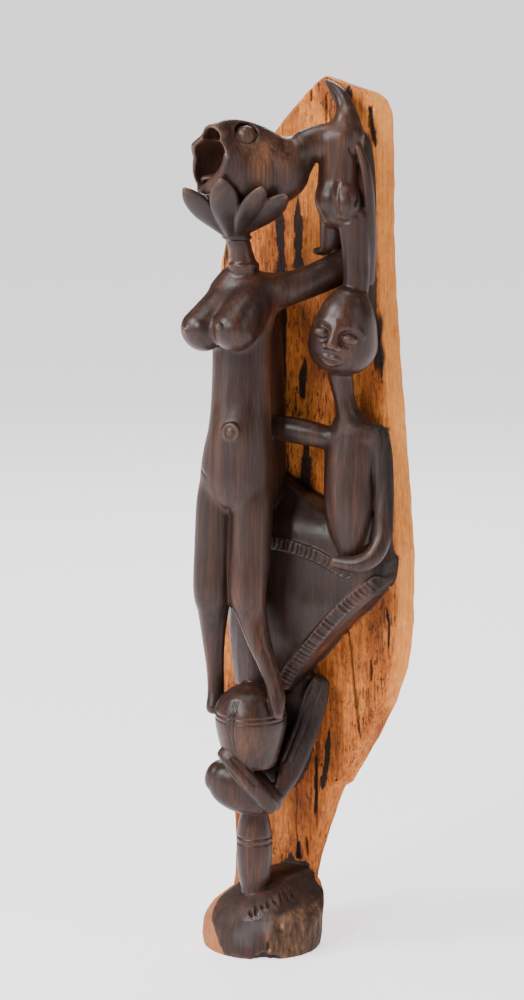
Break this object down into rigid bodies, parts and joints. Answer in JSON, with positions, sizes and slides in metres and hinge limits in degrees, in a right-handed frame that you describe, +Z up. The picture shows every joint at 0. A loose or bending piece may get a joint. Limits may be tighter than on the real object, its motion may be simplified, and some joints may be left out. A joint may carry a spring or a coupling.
{
  "type": "wooden figure group",
  "caption": "Tall carved wooden group of standing and crouching figures in front of an upright board of the same log, on a round foot.",
  "frame": {"origin": "middle of the underside of the foot, on the surface that the carving stands on", "axes": "+X to the viewer's right, -Y the carved front, +Y the board's round back, +Z up"},
  "size_m": [0.2064, 0.1602, 0.855],
  "materials": {
    "figure_group": "polished near-black heartwood with reddish brown grain, over a matte orange-tan sapwood board"
  },
  "bodies": {
    "root": {"figure_group": "figure_group"}
  },
  "joints": []
}
